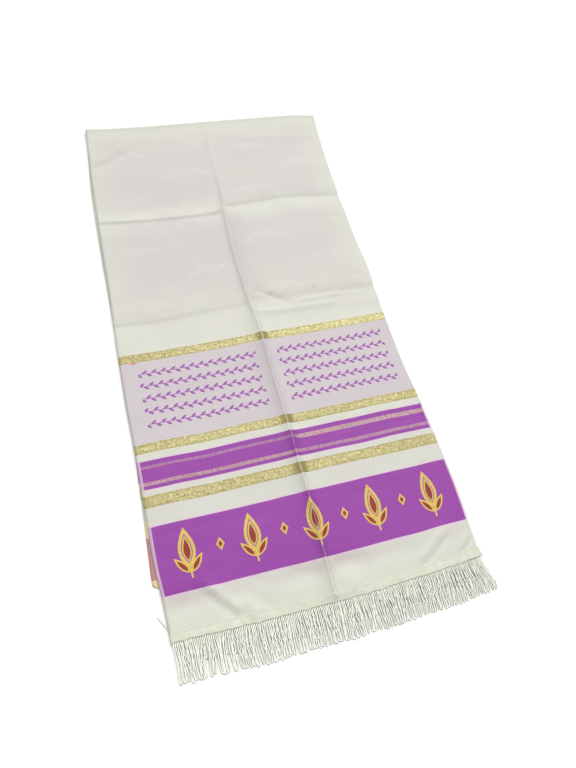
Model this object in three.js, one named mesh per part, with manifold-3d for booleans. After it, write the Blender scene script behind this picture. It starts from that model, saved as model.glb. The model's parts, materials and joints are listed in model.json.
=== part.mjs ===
// A fringed prayer shawl, folded once end to end and laid flat, face up, with its two fringes together.
// Millimetres. +X runs across the cloth, +Y along it from the fringes to the fold, and +Z up.
// The cloth is one woven length: the upper half with the fold's turn, and the under half that it lies on.
// Each end carries a bought fringe: a narrow woven heading with strands.
// A place on the laid shawl is given as x across it and v along it from the upper half's hem.

import * as THREE from 'three';
import Module from 'manifold-3d';
import { mergeVertices } from 'three/addons/utils/BufferGeometryUtils.js';

const wasm = await Module();
wasm.setup();

// Driving sizes of the cloth
const CLOTH_WIDTH = 460;        // selvedge to selvedge
const HALF_LENGTH = 910;        // woven length from the hem to the start of the fold's turn
const WALL = 1.5;               // thickness of each half as a solid wall
const SEAM_GAP = 0.3;           // between pieces that lie on each other or are sewn together
const UNDER_SETBACK = 20;       // how much short of the upper hem the under half ends
const FOLD_RADIUS = 2.9;        // of the wall's middle, round the soft fold
const FOLD_RETURN = 9;          // how far the turn runs back under the upper half
const SKEW = 5;                 // how far the weft climbs from the middle to the right selvedge
const SKEW_REACH = 110;         // the distance from the hem over which most of that climb builds up

// Driving sizes of the fringes
const HEADING_DEPTH = 11;
const HEADING_THICKNESS = 2;
const STRAND_LENGTH = 51;
const STRAND_WIDTH = 2.3;
const STRAND_HEIGHT = 1.2;
const STRAND_ROOT = 2;          // how deep a strand is fused into its heading
const STRAND_SEGMENTS = 4;
const STRAND_CLEARANCE = 0.2;   // under a strand, over what it lies on
const TIP_CLEARANCE = 0.4;      // strands end this far above the surface
const TIP_DROP_FROM = 0.8;      // share of an upper strand's length where it starts down to the surface
const UPPER_STRANDS = 122;
const UNDER_STRANDS = 92;

const HALF_WIDTH = CLOTH_WIDTH / 2;
const UPPER_REST = WALL + SEAM_GAP;   // lowest place of the upper half
const MIDDLE_V = 423;                 // the origin lies under the middle of the whole folded shawl

// The selvedges of the upper half as they lie
const SELVEDGES = [
  { v: -12, left: -229, right: 233 },
  { v: 42, left: -231.5, right: 234 },
  { v: 75, left: -234, right: 235 },
  { v: 120, left: -235, right: 235 },
  { v: 250, left: -236, right: 229 },
  { v: 330, left: -238, right: 223 },
  { v: 460, left: -237.5, right: 222 },
  { v: 530, left: -236, right: 223.5 },
  { v: 600, left: -236, right: 220 },
  { v: 750, left: -235.5, right: 219 },
  { v: 850, left: -233, right: 223 },
  { v: 920, left: -230, right: 227 },
];

// The left edge of the under half, which peeps out past the upper one near its hem
const UNDER_LEFT_EDGE = [
  { v: 20, x: -226 },
  { v: 54, x: -227 },
  { v: 56, x: -234 },
  { v: 57, x: -240 },
  { v: 60, x: -241.8 },
  { v: 110, x: -240.8 },
  { v: 190, x: -238.5 },
  { v: 260, x: -236 },
  { v: 420, x: -235.5 },
  { v: 530, x: -238.5 },
  { v: 740, x: -239.5 },
  { v: 830, x: -235 },
  { v: 880, x: -229 },
];
const UNDER_RIGHT_INSET = 4;
const UNDER_EDGE_STEPS = 12;

// The line of the cloth's hem
const HEM_LINE = [
  { x: -230, v: -1.5 },
  { x: -182, v: -3.5 },
  { x: -135, v: -7 },
  { x: -60, v: -11 },
  { x: 0, v: -12 },
  { x: 55, v: -9 },
  { x: 120, v: -6.5 },
  { x: 205, v: -2.5 },
  { x: 235, v: 0 },
];

// The line of the fold
const FOLD_LINE = [
  { x: -232, v: 905 },
  { x: -180, v: 903.5 },
  { x: -100, v: 905 },
  { x: 0, v: 909 },
  { x: 100, v: 912.5 },
  { x: 185, v: 914.5 },
  { x: 228, v: 911 },
];

// The lengthwise crease down the middle, a ridge all the way
const MIDDLE_CREASE = [
  { v: -12, x: 6.5, height: 1.6 },
  { v: 60, x: 6, height: 3 },
  { v: 150, x: 2.5, height: 4.2 },
  { v: 270, x: 0, height: 5 },
  { v: 420, x: -3, height: 5.5 },
  { v: 500, x: -7, height: 4.8 },
  { v: 600, x: -14, height: 5 },
  { v: 690, x: -10, height: 4 },
  { v: 800, x: -7, height: 2.4 },
  { v: 920, x: -6, height: 1.4 },
];

// The crosswise creases, which change from ridge to groove where they meet the middle one
const CROSS_CREASES = [
  { side: -1, middle: 690, edge: 688, height: 4.2 },
  { side: 1, middle: 694, edge: 706, height: -3.6 },
  { side: -1, middle: 477, edge: 469, height: -3.4 },
  { side: 1, middle: 487, edge: 468, height: 3.8 },
  { side: -1, middle: 252, edge: 247, height: 1.4 },
  { side: 1, middle: 244, edge: 234, height: -1.2 },
];
const DEEP_CREASES = CROSS_CREASES.slice(0, 4);

// Soft wrinkles from one place to another, a trough where the height is negative
const WRINKLES = [
  { x0: -228, v0: 818, x1: -120, v1: 868, height: -1.4, width: 12 },
  { x0: 40, v0: 484, x1: 195, v1: 486, height: 1.6, width: 8 },
  { x0: -185, v0: 42, x1: -136, v1: -2, height: -1.3, width: 9 },
  { x0: 84, v0: 40, x1: 56, v1: 0, height: -1.1, width: 9 },
  { x0: 196, v0: 36, x1: 154, v1: 2, height: -1.1, width: 8 },
];

const PANEL_RISE = 2.4;         // how far the panels between creases stand off the under half
const EDGE_RISE_SHARE = 0.3;    // the share of that rise left at a free edge
const EDGE_FADE = 26;           // the distance over which the rise dies away towards a free edge
const CREASE_CORE = 8;          // reach of a crease's sharp part
const CREASE_SKIRT = 42;        // reach of its broad part
const CORE_SHARE = 0.6;
const CREASE_TIP = 1.6;         // rounding at a crease's top
const CREASE_CROSSING = 12;     // width over which a crosswise crease changes sides
const CROSSING_SHARE = 0.3;     // the share of a crosswise crease left where it meets the middle one
const WRINKLE_ENDS = 0.25;      // the share of a wrinkle's length over which each end dies away
const FOLD_RISE_REACH = 34;     // how far from the fold the cloth comes down off its turn
const CONTACT_SOFTNESS = 0.5;   // softness of the upper half's contact with the under half
const HEM_REACH = 70;           // how far from the hem its line bends the weft
const FOLD_REACH = 120;         // how far from the fold its line bends the weft

// Fineness of the walls
const ACROSS_STEPS = { wide: 0.11, close: 0.024, reach: 0.22 };   // in halves of the width
const WOVEN_STEPS = { wide: 40, close: 7, reach: 70 };
const TURN_STEPS = 6;
const HEADING_STEPS = 20;
const STRAY_SEGMENTS = 5;

// Smooth value of one column of a table whose rows go up in the key column
function readTable(rows, key, at, column) {
  const last = rows.length - 1;
  if (at <= rows[0][key]) return rows[0][column];
  if (at >= rows[last][key]) return rows[last][column];
  let i = 0;
  while (rows[i + 1][key] < at) i++;
  const slopeAt = (j) => {
    const a = rows[Math.max(j - 1, 0)];
    const b = rows[Math.min(j + 1, last)];
    return (b[column] - a[column]) / (b[key] - a[key]);
  };
  const span = rows[i + 1][key] - rows[i][key];
  const t = (at - rows[i][key]) / span;
  return (
    rows[i][column] * (1 + 2 * t) * (1 - t) ** 2 +
    slopeAt(i) * span * t * (1 - t) ** 2 +
    rows[i + 1][column] * t * t * (3 - 2 * t) +
    slopeAt(i + 1) * span * t * t * (t - 1)
  );
}

const selvedge = (v, side) => readTable(SELVEDGES, 'v', v, side);
const hemV = (x) => readTable(HEM_LINE, 'x', x, 'v');
const foldV = (x) => readTable(FOLD_LINE, 'x', x, 'v') - FOLD_RADIUS;

function smoothStep(t) {
  const c = Math.min(Math.max(t, 0), 1);
  return c * c * (3 - 2 * c);
}

// Section through a crease of height 1: a rounded core with a broad skirt
function creaseSection(distance) {
  const rounded = Math.hypot(distance, CREASE_TIP) - CREASE_TIP;
  const core = Math.exp(-rounded / CREASE_CORE);
  const skirt = Math.exp(-rounded / CREASE_SKIRT);
  return CORE_SHARE * core + (1 - CORE_SHARE) * skirt;
}

function wrinkleRise(wrinkle, x, v) {
  const dx = wrinkle.x1 - wrinkle.x0;
  const dv = wrinkle.v1 - wrinkle.v0;
  const long = Math.hypot(dx, dv);
  const along = ((x - wrinkle.x0) * dx + (v - wrinkle.v0) * dv) / long ** 2;
  const across = ((x - wrinkle.x0) * dv - (v - wrinkle.v0) * dx) / long;
  const endFade = (share) => smoothStep(share / WRINKLE_ENDS + 0.5);
  const hump = Math.exp(-((across / wrinkle.width) ** 2));
  return wrinkle.height * endFade(along) * endFade(1 - along) * hump;
}

function creaseRise(x, v) {
  const fromMiddle = x - readTable(MIDDLE_CREASE, 'v', v, 'x');
  const toSelvedge = Math.min(Math.abs(fromMiddle) / HALF_WIDTH, 1);
  let rise = readTable(MIDDLE_CREASE, 'v', v, 'height') * creaseSection(fromMiddle);
  for (const { side, middle, edge, height } of CROSS_CREASES) {
    const onSide = smoothStep((side * fromMiddle) / CREASE_CROSSING + CROSSING_SHARE);
    const line = middle + (edge - middle) * toSelvedge;
    rise += height * onSide * creaseSection(v - line);
  }
  return rise;
}

// Height of the upper half's underside above the surface
function upperUndersideZ(x, v) {
  const toSelvedge = Math.min(x - selvedge(v, 'left'), selvedge(v, 'right') - x);
  const toEdge = Math.max(Math.min(toSelvedge, v - hemV(x)), 0);
  const billow = EDGE_RISE_SHARE + (1 - EDGE_RISE_SHARE) * (1 - Math.exp(-toEdge / EDGE_FADE));
  let rise = PANEL_RISE * billow + creaseRise(x, v);
  for (const wrinkle of WRINKLES) rise += wrinkleRise(wrinkle, x, v);
  const resting = (rise + Math.hypot(rise, CONTACT_SOFTNESS)) / 2;
  const nearFold = Math.exp(-Math.max(foldV(x) - v, 0) / FOLD_RISE_REACH);
  return (UPPER_REST + resting) * (1 - nearFold) + 2 * FOLD_RADIUS * nearFold;
}

// Place of a point of the upper half, from -1 to 1 across between the selvedges and its woven distance
function placeOnUpper(across, woven) {
  const near = HALF_WIDTH * across;
  const climb = SKEW * across;
  const straight = woven + climb * (1 - Math.exp(-woven / SKEW_REACH));
  const toHem = hemV(near) * smoothStep(1 - woven / HEM_REACH);
  const toFold = (foldV(near) - HALF_LENGTH - climb) * smoothStep(1 - (HALF_LENGTH - woven) / FOLD_REACH);
  const v = straight + toHem + toFold;
  const left = selvedge(v, 'left');
  return { x: left + ((across + 1) / 2) * (selvedge(v, 'right') - left), v };
}

// Stations from one end to the other, close together round the crowded places
function stations(from, to, crowded, { wide, close, reach }) {
  const places = [from];
  while (places.at(-1) < to) {
    const here = places.at(-1);
    const nearest = Math.min(...crowded.map((place) => Math.abs(here + close - place)));
    places.push(Math.min(here + close + (wide - close) * smoothStep(nearest / reach), to));
  }
  if (places.at(-1) - places.at(-2) < close / 2) places.splice(-2, 1);
  return places;
}

// A box whose grid of columns, rows and two faces is laid out by a function of them
function wallGeometry(columns, rows, place) {
  const geometry = new THREE.BoxGeometry(1, 1, 1, columns, rows, 1);
  const position = geometry.attributes.position;
  for (let i = 0; i < position.count; i++) {
    const column = Math.round((position.getX(i) + 0.5) * columns);
    const row = Math.round((position.getY(i) + 0.5) * rows);
    const point = place(column, row, position.getZ(i) > 0);
    position.setXYZ(i, point.x, point.v, point.z);
  }
  return geometry;
}

function upperHalf() {
  const middleX = MIDDLE_CREASE.map((row) => row.x);
  const middle = (Math.min(...middleX) + Math.max(...middleX)) / 2 / HALF_WIDTH;
  const deepV = DEEP_CREASES.map((crease) => (crease.middle + crease.edge) / 2);
  const acrossAt = stations(-1, 1, [middle], ACROSS_STEPS);
  const wovenAt = stations(0, HALF_LENGTH, [...deepV, HALF_LENGTH], WOVEN_STEPS);
  const turnFrom = wovenAt.length - 1;

  // Rows after the last station go round the turn, and the last one back under the cloth
  return wallGeometry(acrossAt.length - 1, turnFrom + TURN_STEPS + 1, (column, row, isOuter) => {
    const { x, v } = placeOnUpper(acrossAt[column], wovenAt[Math.min(row, turnFrom)]);
    if (row < turnFrom) return { x, v, z: upperUndersideZ(x, v) + (isOuter ? WALL : 0) };
    if (row > turnFrom + TURN_STEPS) return { x, v: v - FOLD_RETURN, z: isOuter ? 0 : WALL };
    const angle = (Math.PI * (row - turnFrom)) / TURN_STEPS;
    const radius = FOLD_RADIUS + (isOuter ? WALL : -WALL) / 2;
    const middleZ = WALL / 2 + FOLD_RADIUS;
    return { x, v: v + radius * Math.sin(angle), z: middleZ + radius * Math.cos(angle) };
  });
}

function underHalf() {
  const hem = (x) => hemV(x) + UNDER_SETBACK;
  const far = (x) => foldV(x) - FOLD_RETURN - SEAM_GAP;
  const right = (v) => selvedge(v, 'right') - UNDER_RIGHT_INSET;
  const share = (from, to, i) => from + ((to - from) * i) / UNDER_EDGE_STEPS;
  const left = UNDER_LEFT_EDGE[0];
  const farLeft = UNDER_LEFT_EDGE.at(-1);
  const farRight = right(farLeft.v);
  const nearRight = right(UNDER_SETBACK);
  const outline = UNDER_LEFT_EDGE.map(({ x, v }) => new THREE.Vector2(x, Math.max(v, hem(x))));
  for (let i = 0; i <= UNDER_EDGE_STEPS; i++) {
    const x = share(farLeft.x, farRight, i);
    outline.push(new THREE.Vector2(x, far(x)));
  }
  for (let i = 1; i < UNDER_EDGE_STEPS; i++) {
    const v = share(farLeft.v, UNDER_SETBACK, i);
    outline.push(new THREE.Vector2(right(v), v));
  }
  for (let i = 0; i < UNDER_EDGE_STEPS; i++) {
    const x = share(nearRight, left.x, i);
    outline.push(new THREE.Vector2(x, hem(x)));
  }
  return new THREE.ExtrudeGeometry(new THREE.Shape(outline), { depth: WALL, bevelEnabled: false });
}

// Closed solid of a geometry, for joining
function solidOf(geometry) {
  const bare = geometry.clone();
  bare.deleteAttribute('normal');
  bare.deleteAttribute('uv');
  const merged = mergeVertices(bare, 1e-4);
  return new wasm.Manifold(
    new wasm.Mesh({
      numProp: 3,
      vertProperties: new Float32Array(merged.attributes.position.array),
      triVerts: new Uint32Array(merged.index.array),
    }),
  );
}

function geometryOf(solid) {
  const mesh = solid.getMesh();
  const geometry = new THREE.BufferGeometry();
  geometry.setAttribute('position', new THREE.BufferAttribute(mesh.vertProperties, 3));
  geometry.setIndex(new THREE.BufferAttribute(mesh.triVerts, 1));
  return geometry;
}

// A narrow woven strip along the hem, parted from the cloth's edge by a seam's gap
function headingGeometry({ fromX, toX, topV, bottomZ, thickness }) {
  return wallGeometry(HEADING_STEPS, 1, (column, row, isOuter) => {
    const x = fromX + ((toX - fromX) * column) / HEADING_STEPS;
    return { x, v: topV(x) - (row ? 0 : HEADING_DEPTH), z: bottomZ + (isOuter ? thickness : 0) };
  });
}

// A three-sided rod with a flat underside; place gives a point { x, v, z } at a share of its length
function strandGeometry(place, segments) {
  const geometry = new THREE.CylinderGeometry(1, 1, 1, 3, segments);
  const position = geometry.attributes.position;
  const cornerReach = Math.cos(Math.PI / 6);
  const flatDepth = Math.sin(Math.PI / 6);
  for (let i = 0; i < position.count; i++) {
    const at = 0.5 - position.getY(i);
    const point = place(at);
    const before = place(Math.max(at - 0.5 / segments, 0));
    const after = place(Math.min(at + 0.5 / segments, 1));
    const long = Math.hypot(before.x - after.x, before.v - after.v);
    const sideways = (position.getX(i) / cornerReach) * (STRAND_WIDTH / 2);
    const upwards = ((position.getZ(i) + flatDepth) / (1 + flatDepth)) * STRAND_HEIGHT;
    position.setXYZ(
      i,
      point.x + (sideways * (before.v - after.v)) / long,
      point.v - (sideways * (before.x - after.x)) / long,
      point.z + upwards,
    );
  }
  return geometry;
}

// The right end of the fringe spreads outwards and shortens, and the rest sways in soft waves
const rightEnd = (x) => smoothStep((x - 175) / 60);
const tipSway = (x) => 1.6 * Math.sin(x / 17) + 2.2 * Math.sin(x / 41 + 1.3) + 6 * rightEnd(x);
const lengthChange = (x) => 1.5 * Math.sin(x / 6.3) + 2 * Math.sin(x / 23 + 2) - 3 * rightEnd(x);

function fringe({ heading, count, strandZ, extraStrands }) {
  const endInset = STRAND_WIDTH / 2 + 0.5;
  const pitch = (heading.toX - heading.fromX - 2 * endInset) / (count - 1);
  const rods = [...extraStrands];
  for (let i = 0; i < count; i++) {
    const rootX = heading.fromX + endInset + pitch * i;
    const rootV = heading.topV(rootX) - HEADING_DEPTH + STRAND_ROOT;
    const length = STRAND_LENGTH + STRAND_ROOT + lengthChange(rootX);
    const drop = (at) => smoothStep((at - TIP_DROP_FROM) / (1 - TIP_DROP_FROM));
    const place = (at) => ({
      x: rootX + tipSway(rootX) * at * at,
      v: rootV - length * at,
      z: strandZ + (TIP_CLEARANCE - strandZ) * drop(at),
    });
    rods.push(strandGeometry(place, STRAND_SEGMENTS));
  }
  return geometryOf(wasm.Manifold.union([headingGeometry(heading), ...rods].map(solidOf)));
}

const upperHeading = {
  fromX: -228.5,
  toX: 236,
  topV: (x) => hemV(x) - SEAM_GAP,
  bottomZ: UPPER_REST,
  thickness: HEADING_THICKNESS,
};
const underHeading = {
  fromX: -226,
  toX: 227,
  topV: (x) => hemV(x) + UNDER_SETBACK - SEAM_GAP,
  bottomZ: 0,
  thickness: WALL,
};

function upperFringe() {
  const strandZ = UPPER_REST + STRAND_CLEARANCE;
  return fringe({ heading: upperHeading, count: UPPER_STRANDS, strandZ, extraStrands: [] });
}

// One strand at the under fringe's left end lies out past the selvedge, on a quarter turn
function strayStrand() {
  const root = { x: underHeading.fromX + STRAND_ROOT, v: 8 };
  const reach = { x: 17, v: 11 };
  return strandGeometry((at) => {
    const turned = (at * Math.PI) / 2;
    return {
      x: root.x - reach.x * Math.sin(turned),
      v: root.v + reach.v * (1 - Math.cos(turned)),
      z: STRAND_CLEARANCE + (TIP_CLEARANCE - STRAND_CLEARANCE) * at,
    };
  }, STRAY_SEGMENTS);
}

function underFringe() {
  const extraStrands = [strayStrand()];
  return fringe({ heading: underHeading, count: UNDER_STRANDS, strandZ: STRAND_CLEARANCE, extraStrands });
}

const satin = new THREE.MeshStandardMaterial({ color: 0xe4e1d4, roughness: 0.55, metalness: 0 });
const satinBack = new THREE.MeshStandardMaterial({ color: 0xdcd8cc, roughness: 0.7, metalness: 0 });
const fringeYarn = new THREE.MeshStandardMaterial({ color: 0xd8d8cd, roughness: 0.5, metalness: 0 });

function piece(name, geometry, material) {
  const mesh = new THREE.Mesh(geometry, material);
  mesh.name = name;
  return mesh;
}

const cloth = new THREE.Group();
cloth.add(piece('cloth_upper_half', upperHalf(), satin));
cloth.add(piece('cloth_under_half', underHalf(), satinBack));

const fringes = new THREE.Group();
fringes.add(piece('fringe_upper_end', upperFringe(), fringeYarn));
fringes.add(piece('fringe_under_end', underFringe(), fringeYarn));

const shawl = new THREE.Group();
shawl.add(cloth, fringes);
shawl.position.set(0, -MIDDLE_V, 0);

export default shawl;
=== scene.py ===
"""A folded, fringed prayer shawl of woven satin, laid flat for a picture.

The cloth is one long sheet, folded in half end to end. Patterns follow it in woven places: how far a
point is from the left selvedge, and how far along the warp from the upper hem.
"""
import bisect
import json
import math
import random
from collections import namedtuple

import bmesh
import bpy
from mathutils import Matrix, Vector, noise

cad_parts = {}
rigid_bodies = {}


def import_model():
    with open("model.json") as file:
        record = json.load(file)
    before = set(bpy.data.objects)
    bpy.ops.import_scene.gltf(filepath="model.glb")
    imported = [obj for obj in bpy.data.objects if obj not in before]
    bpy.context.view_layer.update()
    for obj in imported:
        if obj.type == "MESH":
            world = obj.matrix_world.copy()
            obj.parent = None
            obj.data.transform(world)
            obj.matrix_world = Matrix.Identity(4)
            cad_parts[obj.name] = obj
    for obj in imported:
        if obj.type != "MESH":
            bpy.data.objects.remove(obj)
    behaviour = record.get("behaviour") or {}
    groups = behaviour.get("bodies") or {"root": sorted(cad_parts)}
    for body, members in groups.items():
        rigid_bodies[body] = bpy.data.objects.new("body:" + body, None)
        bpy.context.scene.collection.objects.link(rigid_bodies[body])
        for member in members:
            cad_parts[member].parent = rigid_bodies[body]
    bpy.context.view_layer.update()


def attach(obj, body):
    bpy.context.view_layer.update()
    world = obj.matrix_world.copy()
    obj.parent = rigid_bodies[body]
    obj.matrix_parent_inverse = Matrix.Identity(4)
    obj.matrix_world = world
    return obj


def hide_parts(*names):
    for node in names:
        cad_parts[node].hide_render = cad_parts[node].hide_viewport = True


bl_info = {
    "name": "Folded Prayer Shawl",
    "version": (1, 0, 0),
    "blender": (4, 5, 0),
    "location": "View3D > Sidebar > Shawl",
    "description": "Builds a folded prayer shawl of woven satin with looped fringes",
    "category": "Add Mesh",
}

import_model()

MM = 0.001

# The laid shawl in millimetres, x across it and v along it from the upper half's hem
HALF_WIDTH = 230
UPPER_WOVEN = 910            # woven length of the upper half, up to the fold's turn
FOLD_RADIUS = 2.9
WALL = 1.5                   # the solids' thickness, within which the thin sheet lies
MIDDLE_V = 423               # the frame's origin lies this far from the hem
UNDER_SETBACK = 20           # how much short of the upper hem the under half ends
SKEW = 9                     # how much further the bands have run on at the right selvedge, and from
SKEW_REACH = 190             # how far along the cloth that is so
UPPER_REST = 1.8             # lowest place of the upper half's underside
SHEET_RISE = 0.6             # of the sheet's face over that underside
HEM_REACH = 70               # how far the hem's curve and the fold's are felt along the cloth
FOLD_REACH = 120


def srgb(red, green, blue):
    """A colour in Blender's linear values, from the usual 0 to 255 ones."""

    def linear(value):
        share = value / 255
        return share / 12.92 if share <= 0.04045 else ((share + 0.055) / 1.055) ** 2.4

    return (linear(red), linear(green), linear(blue))


def table(columns, *rows):
    row = namedtuple("Row", columns)
    return [row(*values) for values in rows]


SELVEDGES = table(
    "v left right",
    (-12, -229, 233), (42, -231.5, 234), (75, -234, 235), (120, -235, 235), (250, -236, 229),
    (330, -238, 223), (460, -237.5, 222), (530, -236, 223.5), (600, -236, 220), (750, -235.5, 219),
    (850, -233, 223), (920, -230, 227),
)
HEM_LINE = table(
    "x v",
    (-230, -6.2), (-182, -7), (-137, -8.2), (-100, -9), (0, -9.4), (60, -8.8), (110, -6.2),
    (160, -4), (205, -1.2), (235, 0.8),
)
FOLD_LINE = table(
    "x v",
    (-232, 905), (-180, 903.5), (-100, 905), (0, 909), (100, 912.5), (185, 914.5), (228, 911),
)
# The under half's left edge, and how far the brocade's trimmed floats stand out past it
UNDER_LEFT = table(
    "v x",
    (18, -228), (200, -236), (260, -236), (420, -235.5), (530, -238.5), (740, -239.5), (830, -235),
    (900, -230),
)
FLOATS_TAB = table(
    "v reach",
    (53.5, 0), (55, 6), (57, 9.5), (60, 11), (110, 7.5), (150, 4.5), (200, 1.5), (240, 0),
)
# The lengthwise crease: its crest, and how fast it falls away to the left and to the right
MIDDLE_CREASE = table(
    "v x height left right",
    (-12, 0, 5.4, 6.5, 3.6),
    (60, 0, 6.9, 7, 3.6),
    (150, 0.5, 8.0, 6.8, 4.2),
    (270, -2, 7.6, 7.4, 6),
    (420, -4.5, 7.8, 7.4, 6),
    (480, -10, 6.0, 4.5, 10),
    (560, -14.5, 5.0, 4.0, 15),
    (640, -14, 4.4, 3.7, 15),
    (700, -9, 2.6, 3.4, 9),
    (800, -7.5, 1.9, 4, 7),
    (920, -7.5, 1.2, 4, 9),
)
# Creases across the cloth on one side of the middle one: their places from left to right, and their
# section as heights at distances from there, positive ones towards the fold
Crease = namedtuple("Crease", "side line section")
LEFT_RIDGE = (
    (-120, 0), (-38, 1.2), (-25, 0.5), (-12, -0.5), (-4, -0.8), (0.5, 0.5), (3, 0.7),
    (9, -0.3), (15, -1.0), (22, -1.3), (45, -0.8), (85, 0),
)
RIGHT_VALLEY = (
    (-120, 0), (-46, 0.9), (-30, 0.6), (-20, 0.2), (-10, -0.7), (-3, -1.3), (0, -1.2),
    (6, 0.2), (12, 0.9), (22, 1.3), (45, 1.4), (110, 0),
)
LEFT_VALLEY = (
    (-70, 0), (-30, 0.5), (-12, 0.0), (-2, -0.6), (0, -0.5), (5, 0.3), (10, 0.6), (24, 0.8), (100, 0)
)
RIGHT_STAIR = (
    (-60, 0), (-14, 0.0), (-9, 0.1), (-5, 0.8), (-1, 1.5), (1, 1.5), (6, 0.6), (12, 0.0),
    (21, -0.6), (25, -0.5), (30, 0.3), (37, 1.1), (46, 1.4), (110, 0),
)
LOW_RIDGE = ((-40, 0), (-5, 0.5), (0, 0.9), (5, 0.6), (40, 0))
LOW_VALLEY = ((-40, 0), (-5, -0.5), (0, -0.9), (4, -0.5), (40, 0))
CROSS_CREASES = (
    Crease(-1, ((-236, 681), (-184, 677), (-117, 676), (-32, 679), (-14, 685)), LEFT_RIDGE),
    Crease(1, ((-8, 691), (60, 698), (110, 702), (225, 697)), RIGHT_VALLEY),
    Crease(-1, ((-238, 467), (-165, 465), (-90, 471), (-8, 476)), LEFT_VALLEY),
    Crease(1, ((-6, 459), (40, 457), (110, 458), (222, 457)), RIGHT_STAIR),
    Crease(-1, ((-236, 246), (-110, 248), (0, 251)), LOW_RIDGE),
    Crease(1, ((0, 244), (110, 238), (229, 233)), LOW_VALLEY),
)
# Soft wrinkles from one place to another, troughs where the height is negative
WRINKLES = table(
    "x0 v0 x1 v1 height width",
    (-228, 804, -168, 835, -2.0, 7),
    (-182, 829, -118, 868, -1.0, 8),
    (-228, 822, -168, 852, 1.2, 8),
    (-182, 847, -118, 884, 0.6, 9),
    (-205, 874, -60, 871, 1.0, 9),
    (70, 861, 215, 858, 1.0, 8),
    (-190, 724, -140, 708, -0.5, 11),
    (195, 778, 222, 782, 0.6, 4),
    (198, 758, 220, 751, -0.6, 4),
    (190, 649, 222, 639, -1.0, 6),
    (180, 520, 216, 498, -0.8, 8),
    (-7.5, 668, -6, 596, -0.9, 2.0),
    (-6.5, 606, -5.5, 505, -0.9, 2.2),
    (4, 502, 34, 486, -1.6, 6),
    (26, 490, 58, 470, -1.5, 6),
    (142, 458, 224, 458, -0.8, 4),
    (66, 466, 92, 472, 0.7, 4),
    (84, 471, 150, 475, 0.9, 4),
    (135, 475, 190, 471, 0.6, 4),
    (-200, 455, -60, 462, -0.3, 7),
    (-190, 42, -160, 24, -2.0, 4.5),
    (-174, 32, -144, 0, -2.2, 4.0),
    (-154, 12, -136, -10, -2.0, 4.0),
    (-172, 44, -132, 2, 3.0, 6.5),
    (-106, 38, -82, 22, -1.5, 4),
    (-112, 13, -86, -6, -1.0, 5),
    (-124, 16, -112, -10, 1.8, 8),
    (-228, 29, -172, 31, -2.0, 12),
    (-62, 26, -14, 28, -1.7, 10),
    (12, 29, 60, 28, -1.8, 10),
    (76, 23, 140, 27, -1.4, 9),
    (-68, 28, -68, -8, -0.5, 2.2),
    (-50, 34, -24, 24, -0.9, 6),
    (5.5, 60, 5.5, -10, -0.8, 1.6),
    (12, 36, 50, 26, -1.0, 6),
    (64, 30, 52, -8, -1.1, 5),
    (80, 16, 145, 29, 0.8, 6),
    (197, 31, 150, -1, -2.6, 3.0),
    (191, 38, 140, 7, 2.2, 5),
    (231, 18, 208, 1, -1.8, 2.6),
    (228, 25, 205, 8, 1.5, 3.5),
    (-96, 24, -64, 12, 0.6, 8),
    (20, 18, 36, -8, 1.2, 9),
    (224, 250, 218, 226, -1.8, 2.6),
    (230, 250, 223, 226, 2.0, 3),
    (-225, 88, 230, 82, -0.3, 9),
    (-200, 128, -60, 118, -0.4, 8),
    (40, 116, 200, 126, -0.4, 8),
)
PANEL_RISE = 2.4             # how much the cloth stands off the under half away from its edges,
EDGE_RISE_SHARE = 0.3        # the share of that at the edges, and how far in from them it grows
EDGE_FADE = 26
CREASE_SKIRT = 42            # how far a crease's broad skirt reaches
CORE_SHARE = 0.64            # the share of its height in its narrow core
CREASE_TIP = 0.8             # how rounded its crest is
CREASE_CROSSING = 12         # how soon a crosswise crease is full beside the lengthwise one
FOLD_RISE_REACH = 34

# Woven bands, as distances from the nearest hem
MOTIF_BAND = (43.8, 140.6)
STRIPE_BAND = (194.5, 238.5)
STRIPE_LINES = ((200.5, 206), (226, 230.5))
GOLD_BANDS = ((168, 185.5), (250, 265), (402.5, 417))
LILAC_PANEL = (265, 402.5)
PLAIN_FROM = 417
SELVEDGE_WIDTH = 4.5


def smooth_step(value):
    share = min(max(value, 0.0), 1.0)
    return share * share * (3 - 2 * share)


def waver(x, y, z):
    """A smooth random value at a place, the same each time."""
    return noise.noise(Vector((x, y, z)))


class Reader:
    """Smooth values through pairs whose first members go up."""

    def __init__(self, pairs):
        self.keys = [key for key, _ in pairs]
        self.values = [value for _, value in pairs]
        last = len(pairs) - 1
        spans = [(max(i - 1, 0), min(i + 1, last)) for i in range(len(pairs))]
        self.slopes = [
            (self.values[b] - self.values[a]) / (self.keys[b] - self.keys[a]) for a, b in spans
        ]

    def __call__(self, at):
        if at <= self.keys[0]:
            return self.values[0]
        if at >= self.keys[-1]:
            return self.values[-1]
        i = bisect.bisect_left(self.keys, at) - 1
        span = self.keys[i + 1] - self.keys[i]
        t = (at - self.keys[i]) / span
        return (
            self.values[i] * (1 + 2 * t) * (1 - t) ** 2
            + self.slopes[i] * span * t * (1 - t) ** 2
            + self.values[i + 1] * t * t * (3 - 2 * t)
            + self.slopes[i + 1] * span * t * t * (t - 1)
        )


def readers(rows):
    """A Reader for each column of a table after its first one, by that one."""
    return [Reader([(row[0], row[i]) for row in rows]) for i in range(1, len(rows[0]))]


left_selvedge, right_selvedge = readers(SELVEDGES)
hem_v = Reader(HEM_LINE)
fold_top_v = Reader(FOLD_LINE)
under_left = Reader(UNDER_LEFT)
tab_reach = Reader(FLOATS_TAB)
middle_x, middle_height, middle_left, middle_right = readers(MIDDLE_CREASE)
CREASE_LINES = [Reader(crease.line) for crease in CROSS_CREASES]
CREASE_SECTIONS = [Reader(crease.section) for crease in CROSS_CREASES]


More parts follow.
